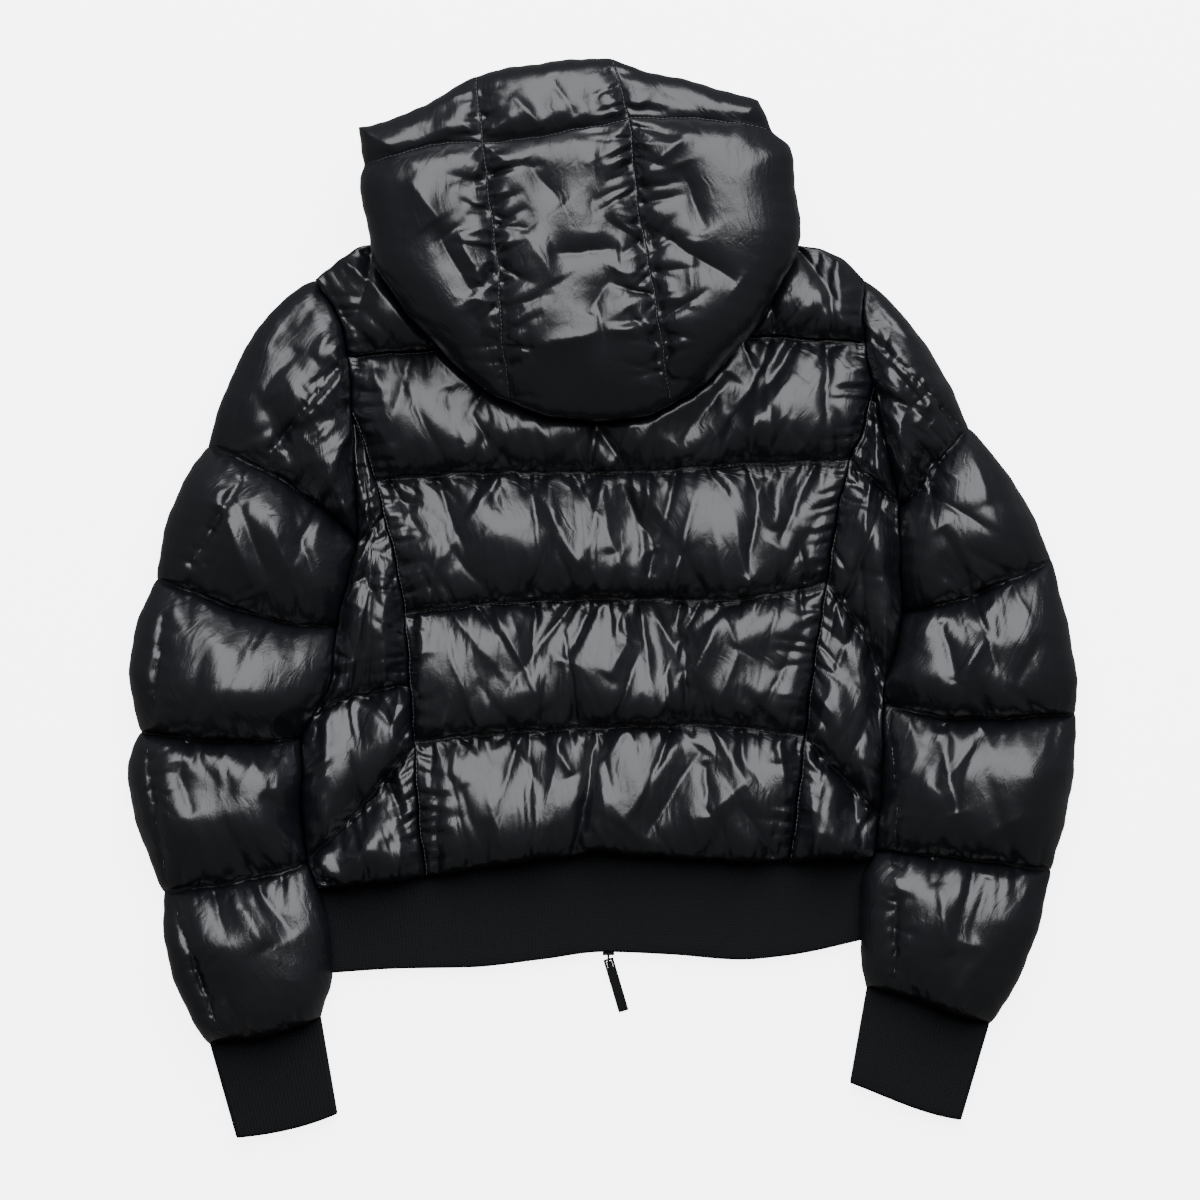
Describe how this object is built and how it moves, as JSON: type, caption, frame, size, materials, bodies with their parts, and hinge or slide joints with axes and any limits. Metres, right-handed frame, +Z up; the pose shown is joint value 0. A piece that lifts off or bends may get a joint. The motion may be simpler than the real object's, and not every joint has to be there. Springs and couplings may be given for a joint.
{
  "type": "puffer jacket",
  "caption": "Short quilted padded jacket with a hood and rib-knit hem and cuffs, laid flat face down with the hood folded over the back.",
  "frame": {"origin": "centre of the bounding box, on the surface that the jacket lies on", "axes": "+Y from the hem towards the hood, +X towards the right-hand sleeve as seen from above, +Z up from the surface"},
  "size_m": [0.7374, 0.8378, 0.119],
  "materials": {
    "nylon": "gloss",
    "rib_knit": "matte",
    "zip_tape": "matte",
    "zip_metal": "satin",
    "pull_tab": "matte"
  },
  "bodies": {
    "jacket": {"back_yoke": "nylon", "back_centre": "nylon", "back_side_left": "nylon", "back_side_right": "nylon", "front_left": "nylon", "front_right": "nylon", "sleeve_left": "nylon", "sleeve_right": "nylon", "hood_left": "nylon", "hood_centre": "nylon", "hood_right": "nylon", "hood_band_left": "nylon", "hood_band_centre": "nylon", "hood_band_right": "nylon", "hood_layers": "nylon", "hem": "rib_knit", "cuff_left": "rib_knit", "cuff_right": "rib_knit", "zip_tape_left": "zip_tape", "zip_tape_right": "zip_tape", "zip_slider": "zip_metal"},
    "pull": {"pull_tab": "pull_tab"}
  },
  "joints": [
    {"name": "pull_swing", "type": "hinge", "parent": "jacket", "child": "pull", "pos_m": [0.00419, -0.28089, 0.0029], "axis": [-0.9588, -0.284, 0], "range_deg": [0, 100]}
  ]
}
